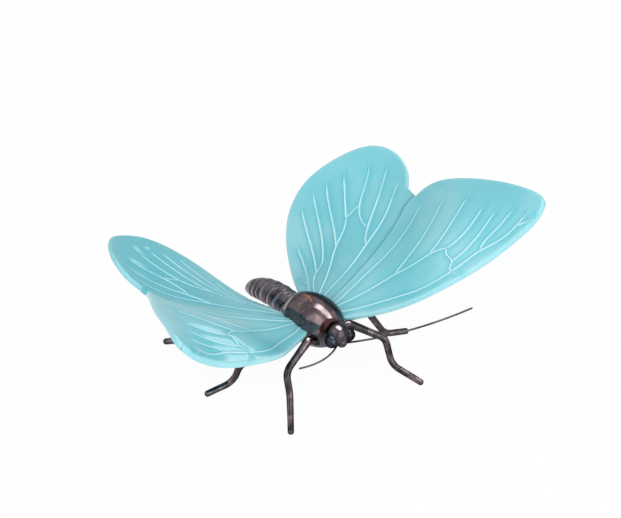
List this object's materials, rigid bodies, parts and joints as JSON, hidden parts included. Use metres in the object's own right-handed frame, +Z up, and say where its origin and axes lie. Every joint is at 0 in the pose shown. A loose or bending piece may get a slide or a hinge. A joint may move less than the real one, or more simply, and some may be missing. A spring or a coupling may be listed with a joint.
{
  "type": "butterfly ornament",
  "caption": "Table ornament of a butterfly: curved glazed wings with raised veins, clamped under the dome of a ridged metal body that stands on bent rod legs.",
  "frame": {"origin": "on the ground, under the middle of the bounding box", "axes": "+Z up from the feet, head towards -Y, wings along X"},
  "size_m": [0.1786, 0.128, 0.0803],
  "materials": {
    "dark_metal": "dark patina, satin",
    "leg_metal": "dark patina, satin",
    "eye_metal": "dark patina, polished",
    "screw_steel": "blackened",
    "glaze": "opaque gloss glaze on ceramic"
  },
  "bodies": {
    "root": {"thorax_dome": "dark_metal", "thorax_base": "dark_metal", "dome_screw": "screw_steel", "head": "dark_metal", "abdomen": "dark_metal", "wing_right": "glaze", "wing_left": "glaze", "leg_front_left": "leg_metal", "leg_front_right": "leg_metal", "leg_mid_left": "leg_metal", "leg_mid_right": "leg_metal", "leg_rear_left": "leg_metal", "leg_rear_right": "leg_metal", "antenna_left": "leg_metal", "antenna_right": "leg_metal", "eye_left": "eye_metal", "eye_right": "eye_metal"}
  },
  "joints": []
}
